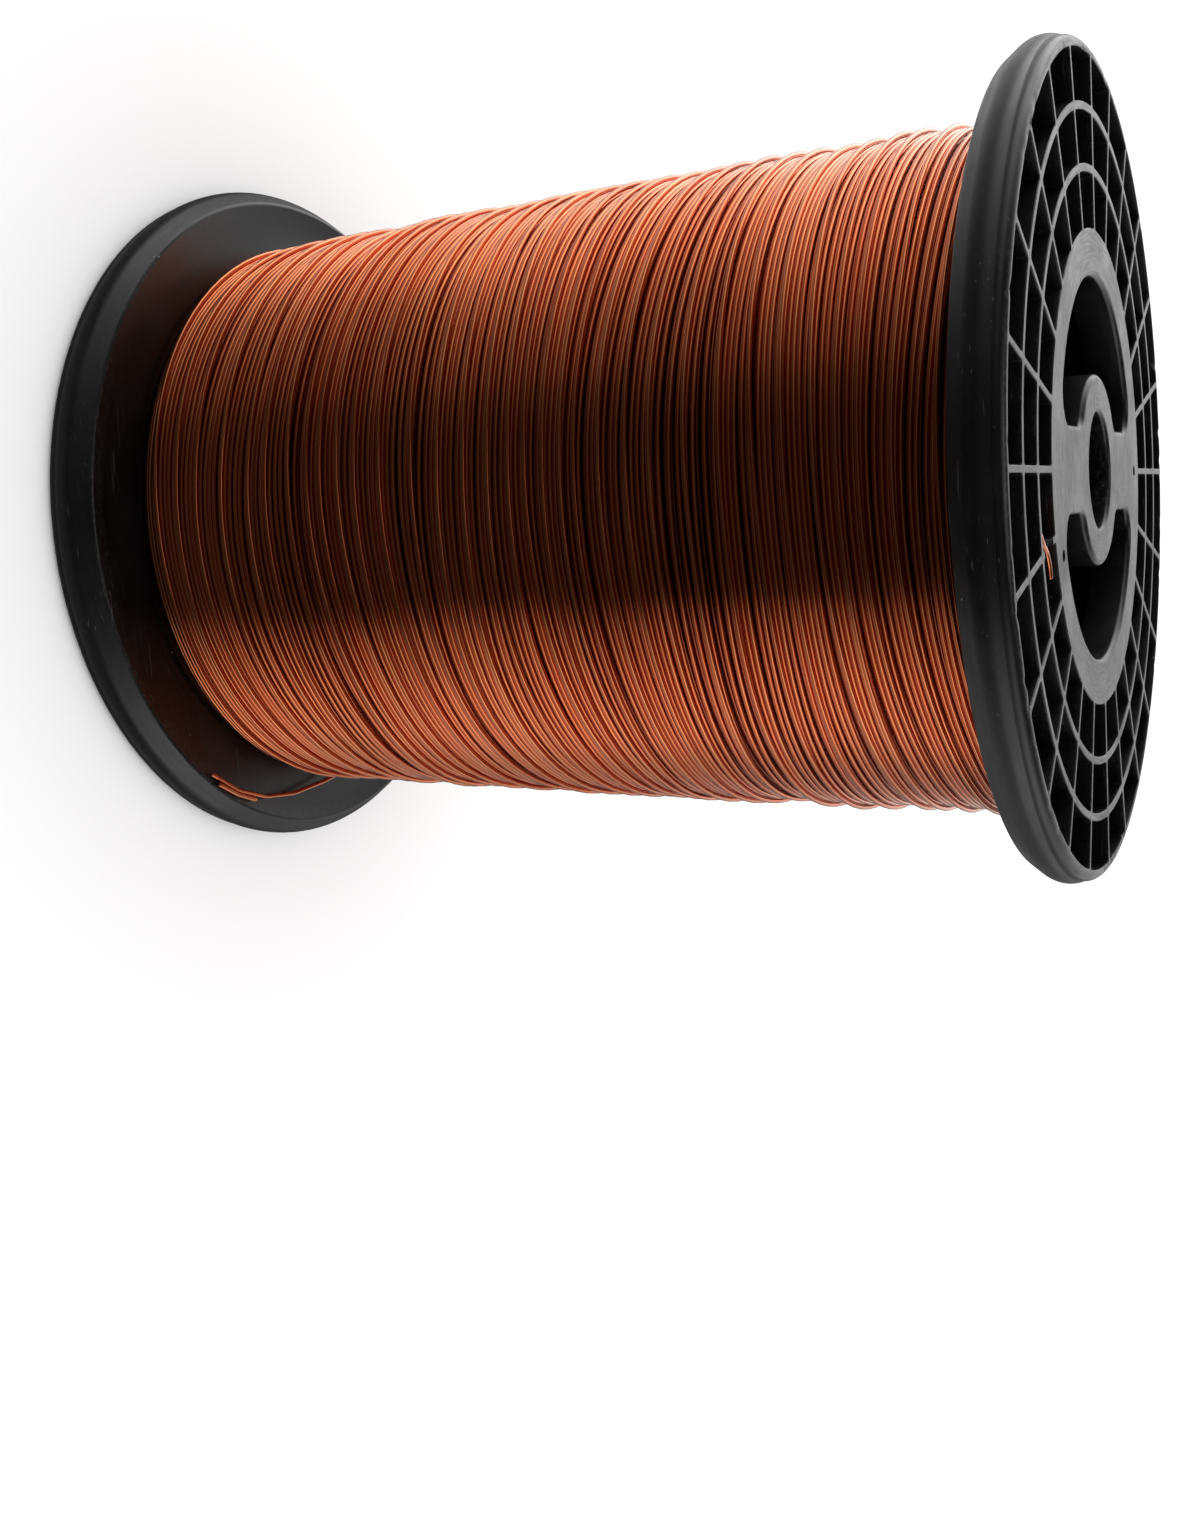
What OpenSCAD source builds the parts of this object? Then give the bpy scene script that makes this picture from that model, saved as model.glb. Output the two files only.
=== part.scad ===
// Taper-barrelled delivery spool of enamelled copper winding wire.
// Frame: millimetres, +Z up along the spool axis. The origin is the centre of the
// bottom flange's outer plane, the plane that the spool stands on.
// Each flange is drawn with its outer plane at z = 0 and its inside towards +z,
// and the top one is turned over into place.

/* [Spool] */
// Height over both flanges
overall_height = 280; // [240:1:320]
// Diameter of the top flange, the larger one
top_flange_d = 230; // [222:1:250]
// Diameter of the bottom flange, the smaller one
bottom_flange_d = 215; // [212:1:240]
// Diameter of the spindle bore through both bosses
bore_d = 32; // [30:0.5:34]

/* [Rim] */
// Width of the lip around the outer plane, with its rounded edge
lip_width = 3.2; // [3:0.1:3.8]
// Radius of the lip's rounded outer edge
lip_edge_r = 2.6; // [1:0.1:2.8]
// How far the belly of the rim stands out beyond the lip
lip_inset = 0.8; // [0.6:0.1:0.8]
// Radius of the rim's rounded belly
belly_r = 6.4; // [6:0.1:6.8]
// Depth of the belly's middle below the outer plane
belly_depth = 6.4; // [6.2:0.1:7]
// Radius of the hollow between lip and belly
hollow_r = 1.5; // [1:0.1:2]
// Depth of the crest, the edge that faces the winding
crest_depth = 14.2; // [13.8:0.1:14.6]
// Distance from the rim's largest radius in to the crest's centre
crest_inset = 5; // [4.6:0.1:5.4]
// Radius of the crest's rounding
crest_r = 1.6; // [1.2:0.1:2]

/* [Web] */
// Depth of the flange's inner face below its outer plane
face_depth = 13.2; // [13:0.1:13.6]
// Thickness of the plate between the recess and the inner face
plate_t = 3; // [2.5:0.1:4]
// Width of the dished band between the inner face and the crest
dish_width = 12; // [10:0.5:14]
// Number of radial spokes
spoke_count = 24; // [12:12:36]
// Thickness of the spokes
spoke_t = 1.8; // [1.4:0.1:2.4]
// Thickness of the ring ribs
ring_t = 2.2; // [1.6:0.1:2.4]
// Radius of the inner ring rib
inner_ring_r = 80.8; // [80.8:0.1:84]
// Radius of the outer ring rib
outer_ring_r = 96.5; // [95:0.5:99]

/* [Hub] */
// Outer radius of the hub
hub_r = 65.2; // [65:0.1:67]
// Thickness of the hub's face and walls
hub_t = 3.2; // [2.4:0.1:4]
// Outer radius of the two hand openings
opening_r = 52.5; // [50:0.5:54]
// Half the width of the web that is left between the hand openings
web_half = 11.5; // [10:0.5:13]
// Corner radius of the hand openings
opening_corner_r = 4.5; // [3:0.5:5]
// Depth of the collar around each hand opening
collar_depth = 11; // [6:0.5:12]
// Outer radius of the spindle boss
boss_r = 26.4; // [26:0.1:28]
// Length of the spindle boss
boss_len = 24; // [20:1:30]
// Radius of the rounded edge at the mouth of the bore
bore_round = 1.2; // [0.8:0.1:1.6]
// Diameter of the two holes that hold a wire end
anchor_hole_d = 3; // [2:0.5:4]
// Radius at which the two wire-end holes sit
anchor_hole_r = 57.5; // [57:0.5:60]

/* [Barrel and tube] */
// Outer radius of the barrel at the bottom flange
barrel_bottom_r = 66; // [64:0.5:68]
// Outer radius of the barrel at the top flange
barrel_top_r = 74; // [72:0.5:75]
// Wall thickness of the barrel
barrel_t = 3; // [2.5:0.1:4]
// Depth of the groove in each flange that holds the barrel's end
groove_depth = 1.5; // [1:0.1:1.8]
// Outer radius of the centre tube
tube_r = 22; // [20:0.5:22]
// Wall thickness of the centre tube
tube_t = 4.5; // [3:0.1:4.5]
// Depth of each boss that the spindle bears on, from the outer plane to the tube's end
bearing_len = 12; // [8:1:14]
// Play around each end of the barrel and the tube
play = 0.1; // [0.05:0.05:0.2]

/* [Wire] */
// Diameter of the enamelled wire
wire_d = 1.5; // [1.4:0.1:1.8]
// Distance between turns of the outer layer
wire_pitch = 1.56; // [1.55:0.01:2]
// Radius to the wire's centre in the outer layer, carried on down to the bottom flange
winding_bottom_r = 85.6; // [84:0.2:90]
// Radius to the wire's centre in the outer layer, carried on up to the top flange
winding_top_r = 94.8; // [92:0.2:97]
// Width of the rounded shoulder beside the bottom flange
shoulder_low = 9; // [6:0.5:16]
// Width of the rounded shoulder beside the top flange
shoulder_high = 5; // [3:0.5:8]

/* [Hidden] */
$fn = 96;

PLASTIC = [0.07, 0.07, 0.075];
PLASTIC_TUBE = [0.11, 0.11, 0.12];
COPPER = [0.66, 0.27, 0.12];
COPPER_INSIDE = [0.48, 0.19, 0.09];
COPPER_LEAD = [0.75, 0.33, 0.15];

eps = 0.01;
far = 400;
rim_wall = lip_inset + lip_width;
spoke_lap = (lip_width - lip_edge_r) / 2;
floor_depth = face_depth - plate_t;
spoke_pitch = 360 / spoke_count;
bore_r = bore_d / 2;
wire_r = wire_d / 2;

// The start of the wire comes up through a hole in the top flange's plate, beside the barrel,
// and crosses one notched spoke. Angles are seen from above.
entry_r = 78.2;
entry_angle = -83;
entry_hole_d = 2.6;
lead_bend_r = 3;
bend_lap = 3;
bend_play = 0.02;
// depth of its level run below the outer plane, and the way it leaves the bend
lead_depth = 1.3;
lead_heading = 41;
lead_end = polar(69.5, -67);
notch_angle = -75;
notch_depth = 3.4;
notch_from = 68.4;
notch_to = 78.6;
// The finish of the wire lies on the bottom flange's inner face.
finish_z = face_depth + wire_r + 1.1;
finish_start = polar(winding_bottom_r - 0.5, 9);
finish_mid = polar(95.6, -17);
finish_end = polar(99.6, -39);
tail_gap = 1.7;
tail_start_share = 0.62;
tail_end_share = 0.9;
// Angles of the two wire-end holes in the hub, seen from outside the top flange
anchor_angles = [90, -68];

winding_low = face_depth + play;
winding_high = overall_height - face_depth - play;
turn_low = winding_low + wire_r;
turn_count = floor((winding_high - winding_low - wire_d) / wire_pitch) + 1;

function polar(r, a) = [r * cos(a), r * sin(a)];
function lerp(a, b, t) = a + (b - a) * t;

// Angle of the line that touches two circles, as seen from their centres
function tangent_angle(a, ra, b, rb) =
    atan2(b[1] - a[1], b[0] - a[0]) - acos((ra - rb) / norm(b - a));

// Centre of the circle through three points
function circle_centre(a, b, c) =
    let (d = 2 * (a[0] * (b[1] - c[1]) + b[0] * (c[1] - a[1]) + c[0] * (a[1] - b[1])),
         qa = a * a, qb = b * b, qc = c * c)
    [(qa * (b[1] - c[1]) + qb * (c[1] - a[1]) + qc * (a[1] - b[1])) / d,
     (qa * (c[0] - b[0]) + qb * (a[0] - c[0]) + qc * (b[0] - a[0])) / d];

// Centre of the circle that leaves p along a heading and passes through q
function tangent_centre(p, heading, q) =
    let (side = polar(1, heading + 90), way = q - p)
    p + side * ((way * way) / (2 * (way * side)));

// Radius of the barrel's outside at a height
function barrel_r_at(z) =
    lerp(barrel_bottom_r, barrel_top_r, (z - face_depth) / (overall_height - 2 * face_depth));

// How far a turn sinks towards the barrel on a shoulder of width s, at distance d from the flange
function sink(d, s) = d >= s ? 0 : s - sqrt(s * s - pow(s - d, 2));

// Radius to the wire's centre in a turn of the outer layer at a height
function turn_r_at(z) =
    lerp(winding_bottom_r, winding_top_r, (z - turn_low) / (winding_high - wire_r - turn_low))
    - sink(z - winding_low, shoulder_low) - sink(winding_high - z, shoulder_high);

// ---------------------------------------------------------------- flange

// Section of the rim: lip, hollow, belly and crest, with radius along x and depth along y
module rim_section(R) {
    belly = [R - belly_r, belly_depth];
    crest = [R - crest_inset, crest_depth - crest_r];
    lip_r = R - lip_inset;
    hollow_x = lip_r + hollow_r;
    hollow_y = belly_depth - sqrt(pow(belly_r + hollow_r, 2) - pow(hollow_x - belly[0], 2));
    hollow_share = belly_r / (belly_r + hollow_r);
    bridge = tangent_angle(belly, belly_r, crest, crest_r);
    inner_r = R - rim_wall;

    difference() {
        union() {
            translate([inner_r, lip_edge_r])
                square([lip_width, hollow_y - lip_edge_r]);
            translate([inner_r, 0])
                square([lip_width - lip_edge_r, lip_edge_r + eps]);
            translate([lip_r - lip_edge_r, lip_edge_r])
                circle(lip_edge_r);
            polygon([
                [inner_r, hollow_y - eps],
                [lip_r, hollow_y - eps],
                [lip_r, hollow_y],
                lerp(belly, [hollow_x, hollow_y], hollow_share),
                belly,
                [inner_r, belly_depth],
            ]);
            translate(belly) circle(belly_r);
            translate(crest) circle(crest_r);
            polygon([
                belly,
                belly + polar(belly_r, bridge),
                crest + polar(crest_r, bridge),
                crest,
            ]);
        }
        translate([hollow_x, hollow_y]) circle(hollow_r);
        translate([0, -far / 2]) square([inner_r, far / 2 + floor_depth]);
    }
}

// Section of the plate from the hub to the crest, dished beside the crest
module plate_section(R) {
    outer = R - crest_inset;
    rise = crest_depth - face_depth;
    dish_r = (dish_width * dish_width + rise * rise) / (2 * rise);
    difference() {
        translate([hub_r - hub_t, floor_depth])
            square([outer - hub_r + hub_t, crest_depth - floor_depth]);
        translate([outer - dish_width, face_depth + dish_r]) circle(dish_r, $fn = 200);
        translate([0, face_depth]) square([outer - dish_width, dish_r]);
    }
}

// One hand opening, a crescent around the boss with rounded corners, grown by g all round
module hand_opening(g = 0) {
    r_in = boss_r - g;
    r_out = opening_r + g;
    x0 = web_half - g;
    c = opening_corner_r + g;
    y_in = sqrt(pow(r_in + c, 2) - pow(x0 + c, 2));
    y_out = sqrt(pow(r_out - c, 2) - pow(x0 + c, 2));
    mid_in = [x0 + c, y_in];
    mid_out = [x0 + c, y_out];
    difference() {
        circle(r_out);
        circle(r_in);
        translate([-far, -far / 2]) square([far + x0, far]);
        for (side = [0, 1]) mirror([0, side]) {
            difference() {
                polygon([
                    [x0 - eps, y_out],
                    mid_out,
                    mid_out * ((r_out + 1) / norm(mid_out)),
                    [x0 - eps, r_out + 1],
                ]);
                translate(mid_out) circle(c);
            }
            difference() {
                polygon([
                    [x0 - eps, y_in],
                    mid_in,
                    mid_in * ((r_in - eps) / norm(mid_in)),
                    [x0 - eps, sqrt(pow(r_in - eps, 2) - pow(x0 - eps, 2))],
                ]);
                translate(mid_in) circle(c);
            }
        }
    }
}

// Ring with a square section, from depth 0
module ring(r_out, r_in, depth) {
    rotate_extrude() translate([r_in, 0]) square([r_out - r_in, depth]);
}

// Boss with a bore that is rounded at its mouth and widens inside to hold the centre tube
module boss_section() {
    difference() {
        translate([bore_r, 0]) square([boss_r - bore_r, boss_len]);
        translate([0, bearing_len - play])
            square([tube_r + play, boss_len]);
        difference() {
            translate([bore_r - eps, -eps]) square([bore_round + eps, bore_round + eps]);
            translate([bore_r + bore_round, bore_round]) circle(bore_round);
        }
    }
}

module flange(R, barrel_r) {
    difference() {
        union() {
            rotate_extrude() union() {
                rim_section(R);
                plate_section(R);
                boss_section();
            }
            ring(hub_r, hub_r - hub_t, face_depth);
            ring(inner_ring_r + ring_t / 2, inner_ring_r - ring_t / 2, floor_depth + eps);
            ring(outer_ring_r + ring_t / 2, outer_ring_r - ring_t / 2, floor_depth + eps);
            for (i = [0 : spoke_count - 1]) rotate(i * spoke_pitch)
                translate([hub_r - hub_t / 2, -spoke_t / 2, 0])
                    cube([R - rim_wall + spoke_lap - hub_r + hub_t / 2, spoke_t, floor_depth + eps]);
            difference() {
                ring(hub_r - eps, boss_r - eps, hub_t);
                hub_cuts();
            }
            linear_extrude(collar_depth) for (side = [0, 1]) mirror([side, 0]) difference() {
                hand_opening(hub_t / 2);
                hand_opening();
            }
        }
        // groove that the barrel's end sits in
        translate([0, 0, face_depth - groove_depth])
            ring(barrel_r + play, barrel_r - barrel_t - play, groove_depth + 1);
    }
}

// The openings through the hub's face
module hub_cuts() {
    for (side = [0, 1]) mirror([side, 0, 0])
        translate([0, 0, -1]) linear_extrude(hub_t + 2) hand_opening();
}

module top_flange() color(PLASTIC)
    translate([0, 0, overall_height]) rotate([180, 0, 0]) difference() {
        flange(top_flange_d / 2, barrel_top_r);
        // the turned flange carries angles the other way round
        for (a = anchor_angles) rotate(-a)
            translate([anchor_hole_r, 0, -1]) cylinder(h = hub_t + 2, d = anchor_hole_d);
        rotate(-entry_angle) translate([entry_r, 0, 0]) cylinder(h = far, d = entry_hole_d);
        rotate(-notch_angle) translate([notch_from, -spoke_t, -1])
            cube([notch_to - notch_from, 2 * spoke_t, notch_depth + 1]);
    }

module bottom_flange() color(PLASTIC)
    flange(bottom_flange_d / 2, barrel_bottom_r);

// ---------------------------------------------------------------- barrel and centre tube

module barrel() color(PLASTIC_TUBE) {
    low = face_depth;
    high = overall_height - face_depth;
    spigot = groove_depth - play;
    rotate_extrude() polygon([
        [barrel_bottom_r - barrel_t, low - spigot],
        [barrel_bottom_r, low - spigot],
        [barrel_bottom_r, low],
        [barrel_top_r, high],
        [barrel_top_r, high + spigot],
        [barrel_top_r - barrel_t, high + spigot],
        [barrel_top_r - barrel_t, high],
        [barrel_bottom_r - barrel_t, low],
    ]);
}

module centre_tube() color(PLASTIC_TUBE)
    translate([0, 0, bearing_len]) difference() {
        cylinder(h = overall_height - 2 * bearing_len, r = tube_r);
        translate([0, 0, -1])
            cylinder(h = overall_height, r = tube_r - tube_t);
    }

// ---------------------------------------------------------------- wire

// Heights of the outer layer's turns
turn_heights = [for (i = [0 : turn_count - 1]) turn_low + i * wire_pitch];

// Every second turn's height, closed off at both ends of the winding
sleeve_heights = concat(
    [winding_low],
    [for (i = [1 : 2 : turn_count - 2]) turn_heights[i]],
    [winding_high]);

// Outline of one turn's outside, from its lower flank to its upper one
function turn_outline(z) =
    [for (a = [-66 : 44 : 66]) [turn_r_at(z) + wire_r * cos(a), z + wire_r * sin(a)]];

// The layers under the outer one, as a solid sleeve on the barrel
module inner_winding() color(COPPER_INSIDE)
    rotate_extrude() polygon(concat(
        [for (z = [winding_high, winding_low]) [barrel_r_at(z) + play, z]],
        [for (z = sleeve_heights) [turn_r_at(z) - wire_r - play, z]]
    ));

// The outer layer, turn beside turn
module outer_winding() color(COPPER)
    rotate_extrude() polygon(concat(
        [for (i = [len(sleeve_heights) - 1 : -1 : 0])
            let (z = sleeve_heights[i]) [turn_r_at(z) - wire_r, z]],
        [for (z = turn_heights) each turn_outline(z)]
    ));

// Round wire along a level arc around a centre, cut off square at both ends.
// The shares say which stretch of the way from a to b it takes, and grow sets it outwards.
module wire_arc(centre, a, b, from = 0, to = 1, grow = 0) {
    start = atan2(a[1] - centre[1], a[0] - centre[0]);
    turn = atan2(b[1] - centre[1], b[0] - centre[0]) - start;
    sweep = turn > 180 ? turn - 360 : turn < -180 ? turn + 360 : turn;
    translate(centre) rotate(start + sweep * (sweep > 0 ? from : to))
        rotate_extrude(angle = abs(sweep) * (to - from))
            translate([norm(a - centre) + grow, 0]) circle(wire_r, $fn = 32);
}

// The start of the wire: up through the top flange's plate, over a bend and across the notch
module start_lead() color(COPPER_LEAD) {
    entry = polar(entry_r, entry_angle);
    bend_end = entry + polar(lead_bend_r, lead_heading);
    level = overall_height - lead_depth;
    riser_low = overall_height - face_depth + play;
    translate([entry[0], entry[1], riser_low])
        cylinder(h = level - lead_bend_r - riser_low, r = wire_r);
    // the bend is a hair thinner, so that its two ends seat inside the straight and the level run
    translate([entry[0], entry[1], level - lead_bend_r]) rotate(lead_heading)
        translate([lead_bend_r, 0, 0]) rotate([90, 0, 0]) rotate(90 - bend_lap)
            rotate_extrude(angle = 90 + 2 * bend_lap)
                translate([lead_bend_r, 0]) circle(wire_r - bend_play, $fn = 32);
    translate([0, 0, level])
        wire_arc(tangent_centre(bend_end, lead_heading, lead_end), bend_end, lead_end);
}

// The finish of the wire, with its doubled-back tail beside it
module finish_lead() color(COPPER_LEAD)
    translate([0, 0, finish_z]) {
        centre = circle_centre(finish_start, finish_mid, finish_end);
        wire_arc(centre, finish_start, finish_end);
        wire_arc(centre, finish_start, finish_end, tail_start_share, tail_end_share, tail_gap);
    }

top_flange();
bottom_flange();
barrel();
centre_tube();
inner_winding();
outer_winding();
start_lead();
finish_lead();
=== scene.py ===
import math

import bmesh
import bpy
import numpy as np
from mathutils import Matrix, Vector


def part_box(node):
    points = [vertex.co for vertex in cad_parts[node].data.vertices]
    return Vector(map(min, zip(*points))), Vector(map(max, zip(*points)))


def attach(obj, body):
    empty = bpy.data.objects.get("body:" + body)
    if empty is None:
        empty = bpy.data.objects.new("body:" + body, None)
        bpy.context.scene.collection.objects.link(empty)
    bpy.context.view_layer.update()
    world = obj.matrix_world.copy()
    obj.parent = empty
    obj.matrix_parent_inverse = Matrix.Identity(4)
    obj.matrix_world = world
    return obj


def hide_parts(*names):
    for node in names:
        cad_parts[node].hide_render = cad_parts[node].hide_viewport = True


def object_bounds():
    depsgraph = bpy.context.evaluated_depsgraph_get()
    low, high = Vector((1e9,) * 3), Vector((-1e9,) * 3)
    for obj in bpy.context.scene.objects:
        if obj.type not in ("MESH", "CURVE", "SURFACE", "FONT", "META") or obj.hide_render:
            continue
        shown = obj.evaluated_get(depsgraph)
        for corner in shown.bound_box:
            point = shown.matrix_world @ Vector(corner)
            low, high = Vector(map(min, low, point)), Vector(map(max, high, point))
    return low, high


# Looks for the wire spool. Metres, +Z up along the spool axis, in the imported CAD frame.
# Names that end in _MM hold millimetres, and angles are in degrees. MM turns them into metres.

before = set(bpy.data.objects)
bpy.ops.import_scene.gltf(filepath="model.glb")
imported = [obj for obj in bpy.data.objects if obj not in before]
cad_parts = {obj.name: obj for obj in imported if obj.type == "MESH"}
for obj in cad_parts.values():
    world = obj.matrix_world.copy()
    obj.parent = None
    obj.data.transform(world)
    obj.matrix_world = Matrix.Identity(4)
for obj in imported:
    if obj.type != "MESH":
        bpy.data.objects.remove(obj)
CAD_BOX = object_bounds()
MM = 0.001
SEED = 7
rng = np.random.default_rng(SEED)
WIRE_MM = 1.5


# ------------------------------------------------------------------ small tools

def polar(r, degrees):
    """A point, or a row of points, at radius r and at an angle."""
    a = np.radians(degrees)
    return np.stack(np.broadcast_arrays(r * np.cos(a), r * np.sin(a)), -1)


def smoothstep(low, high, x):
    """0 below low, 1 above high, and smooth between."""
    t = np.clip((x - low) / (high - low), 0, 1)
    return t * t * (3 - 2 * t)


def make_piece(mesh, node, material):
    """Puts a finished mesh in the scene in place of a CAD node."""
    mesh.materials.append(material)
    piece = bpy.data.objects.new(mesh.name, mesh)
    bpy.context.scene.collection.objects.link(piece)
    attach(piece, "root")
    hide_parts(node)
    return piece


# ------------------------------------------------------------------ node helpers

class Nodes:
    """Short calls for building a node tree."""

    def __init__(self, tree):
        self.tree = tree
        tree.nodes.clear()

    def add(self, kind, settings=None, **inputs):
        """A node of this kind. Settings are its properties, and inputs are values or sockets."""
        node = self.tree.nodes.new(kind)
        for key, value in (settings or {}).items():
            setattr(node, key, value)
        for key, value in inputs.items():
            slot = int(key[1:]) if key[0] == "i" and key[1:].isdigit() else key.replace("_", " ")
            if isinstance(value, bpy.types.NodeSocket):
                self.tree.links.new(value, node.inputs[slot])
            else:
                node.inputs[slot].default_value = value
        return node

    def math(self, operation, a, b=0.0, c=0.0):
        """The result of one operation on numbers."""
        return self.add("ShaderNodeMath", {"operation": operation}, i0=a, i1=b, i2=c).outputs[0]

    def span(self, value, low, high, out_low=0.0, out_high=1.0):
        """Maps low..high to out_low..out_high, smooth and clamped."""
        node = self.add("ShaderNodeMapRange", {"interpolation_type": "SMOOTHSTEP"}, Value=value)
        node.inputs["From Min"].default_value = low
        node.inputs["From Max"].default_value = high
        node.inputs["To Min"].default_value = out_low
        node.inputs["To Max"].default_value = out_high
        return node.outputs["Result"]

    def mix(self, share, a, b):
        """A colour between a and b."""
        node = self.add("ShaderNodeMix", {"data_type": "RGBA"}, Factor=share)
        for slot, value in ((6, a), (7, b)):
            if isinstance(value, bpy.types.NodeSocket):
                self.tree.links.new(value, node.inputs[slot])
            else:
                node.inputs[slot].default_value = (*value, 1)
        return node.outputs[2]

    def noise(self, vector, scale, detail=3.0, roughness=0.5):
        """A noise value from 0 to 1."""
        return self.add("ShaderNodeTexNoise", None, Vector=vector, Scale=scale,
                        Detail=detail, Roughness=roughness).outputs["Fac"]

    def ramp(self, value, stops):
        """A grey ramp. Stops are pairs of place and brightness."""
        node = self.add("ShaderNodeValToRGB", None, Fac=value)
        ramp = node.color_ramp
        while len(ramp.elements) < len(stops):
            ramp.elements.new(0.5)
        for element, (place, level) in zip(ramp.elements, stops):
            element.position = place
            element.color = (level, level, level, 1)
        return node.outputs["Color"]

    def azimuth(self, vector):
        """Turns about the spool's axis: 0.5 is towards -Y, the camera's side, and 0.75 towards +X."""
        at = self.add("ShaderNodeSeparateXYZ", None, Vector=vector)
        away = self.math("MULTIPLY", at.outputs["Y"], -1.0)
        angle = self.math("ARCTAN2", at.outputs["X"], away)
        return self.math("MULTIPLY_ADD", angle, 0.5 / math.pi, 0.5)


def new_material(name):
    """An empty node material and its helper."""
    material = bpy.data.materials.new(name)
    material.use_nodes = True
    return material, Nodes(material.node_tree)


# ------------------------------------------------------------------ materials

# The plastic's patterns, in cycles for each metre, and for each turn in the second value of STREAKS.
STREAKS, SCRATCHES = (1400.0, 36.0, 700.0), (60.0, 1500.0, 1500.0)
MOTTLE, GRAIN, PATCHES, SPECKS, DUSTY_SPOTS = 55.0, 900.0, 700.0, 210.0, 120.0
SCRATCH_TURN = (0.3, 0.2, 0.5)
WORN_TONE, SCRATCH_TONE, DUST_TONE = (0.16, 0.155, 0.145), (0.20, 0.20, 0.19), (0.42, 0.40, 0.37)


def plastic(name, base, roughness, streaks):
    """Black moulded plastic: mottled gloss, fine turned streaks, dust and pale wear on its edges."""
    material, n = new_material(name)
    place = n.add("ShaderNodeNewGeometry").outputs["Position"]
    at = n.add("ShaderNodeSeparateXYZ", None, Vector=place)
    radius = n.math("SQRT", n.math("ADD", n.math("MULTIPLY", at.outputs["X"], at.outputs["X"]),
                                   n.math("MULTIPLY", at.outputs["Y"], at.outputs["Y"])))
    turned = n.add("ShaderNodeCombineXYZ", None, X=n.math("MULTIPLY", radius, STREAKS[0]),
                   Y=n.math("MULTIPLY", n.azimuth(place), STREAKS[1]),
                   Z=n.math("MULTIPLY", at.outputs["Z"], STREAKS[2])).outputs[0]
    streak = n.noise(turned, 1.0, 4.0, 0.6)
    mottle = n.noise(place, MOTTLE, 5.0, 0.6)
    grain = n.noise(place, GRAIN, 2.0, 0.5)
    lines = n.add("ShaderNodeMapping", None, Vector=place, Rotation=SCRATCH_TURN, Scale=SCRATCHES)
    scratch = n.span(n.noise(lines.outputs[0], 1.0, 2.0, 0.5), 0.66, 0.74)
    wear = n.add("ShaderNodeAttribute", {"attribute_name": "wear"}).outputs["Fac"]
    worn = n.math("MULTIPLY", wear, n.span(n.noise(place, PATCHES, 5.0, 0.7), 0.50, 0.62))
    speck = n.add("ShaderNodeTexVoronoi", {"feature": "F1"}, Vector=place, Scale=SPECKS)
    dust = n.math("MULTIPLY", n.span(speck.outputs["Distance"], 0.09, 0.04),
                  n.span(n.noise(place, DUSTY_SPOTS, 1.0), 0.62, 0.68))
    tone = n.mix(n.span(mottle, 0.35, 0.7), base, [c * 1.6 + 0.0006 for c in base])
    tone = n.mix(n.math("MULTIPLY", worn, 0.30), tone, WORN_TONE)
    tone = n.mix(n.math("MULTIPLY", scratch, 0.10), tone, SCRATCH_TONE)
    tone = n.mix(n.math("MULTIPLY", dust, 0.4), tone, DUST_TONE)
    rough = n.math("MULTIPLY_ADD", n.span(streak, 0.3, 0.7), 0.10 * streaks, roughness - 0.04)
    rough = n.math("ADD", rough, n.math("MULTIPLY", n.span(mottle, 0.35, 0.7), 0.07))
    rough = n.math("ADD", rough, n.math("MULTIPLY", n.math("MAXIMUM", worn, scratch), 0.2))
    height = n.math("ADD", n.math("MULTIPLY", streak, 0.5 * streaks),
                    n.math("MULTIPLY_ADD", grain, 0.25, n.math("MULTIPLY", mottle, 0.6)))
    bump = n.add("ShaderNodeBump", None, Strength=0.18, Distance=0.00010, Height=height).outputs[0]
    shader = n.add("ShaderNodeBsdfPrincipled", None, Roughness=rough, IOR=1.5, Normal=bump)
    shader.inputs["Specular IOR Level"].default_value = 0.60
    n.tree.links.new(tone, shader.inputs["Base Color"])
    n.add("ShaderNodeOutputMaterial", None, Surface=shader.outputs[0])
    return material


# The copper's patterns, in cycles for each metre, and for each turn of wire in TURN_TONES.
CLOUDS, FINE_GRAIN, TURN_TONES = 26.0, 1100.0, 1.6
# The last colour here is painted shade: the dark red that a shaded copy of the copper is mixed towards.
WARMER, CLOUDED, PAINTED_SHADE_TONE = (0.90, 0.72, 0.62), 0.72, (0.05, 0.012, 0.004)


def enamelled_copper(name, metal, shade):
    """Drawn copper under clear amber enamel, with a slightly different tone in each turn, and painted
    shade: a share of shade mixes it towards a dark red.
    """
    material, n = new_material(name)
    place = n.add("ShaderNodeNewGeometry").outputs["Position"]
    run = n.add("ShaderNodeAttribute", {"attribute_name": "run"}).outputs["Fac"]
    tone_of_turn = n.add("ShaderNodeTexNoise", {"noise_dimensions": "1D"}, W=run, Scale=TURN_TONES,
                         Detail=2.0).outputs["Fac"]
    cloud = n.noise(place, CLOUDS, 3.0, 0.5)
    fine = n.noise(place, FINE_GRAIN, 2.0, 0.5)
    tone = n.mix(n.span(tone_of_turn, 0.38, 0.62), metal, [c * part for c, part in zip(metal, WARMER)])
    tone = n.mix(n.span(cloud, 0.42, 0.70, 0.0, 0.35), tone, [c * CLOUDED for c in metal])
    # Painted shade: the share of shade darkens the copper towards a dark red.
    tone = n.mix(shade, tone, PAINTED_SHADE_TONE)
    rough = n.math("MULTIPLY_ADD", n.span(cloud, 0.3, 0.75), 0.05, 0.13)
    rough = n.math("ADD", rough, n.math("MULTIPLY", fine, 0.03))
    bump = n.add("ShaderNodeBump", None, Strength=0.05, Distance=0.00004, Height=fine).outputs[0]
    shader = n.add("ShaderNodeBsdfPrincipled", None, Metallic=1.0, Roughness=rough, Normal=bump)
    shader.inputs["Coat Weight"].default_value = 0.65
    shader.inputs["Coat Roughness"].default_value = 0.08
    shader.inputs["Coat IOR"].default_value = 1.5
    n.tree.links.new(tone, shader.inputs["Base Color"])
    n.add("ShaderNodeOutputMaterial", None, Surface=shader.outputs[0])
    return material


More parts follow.
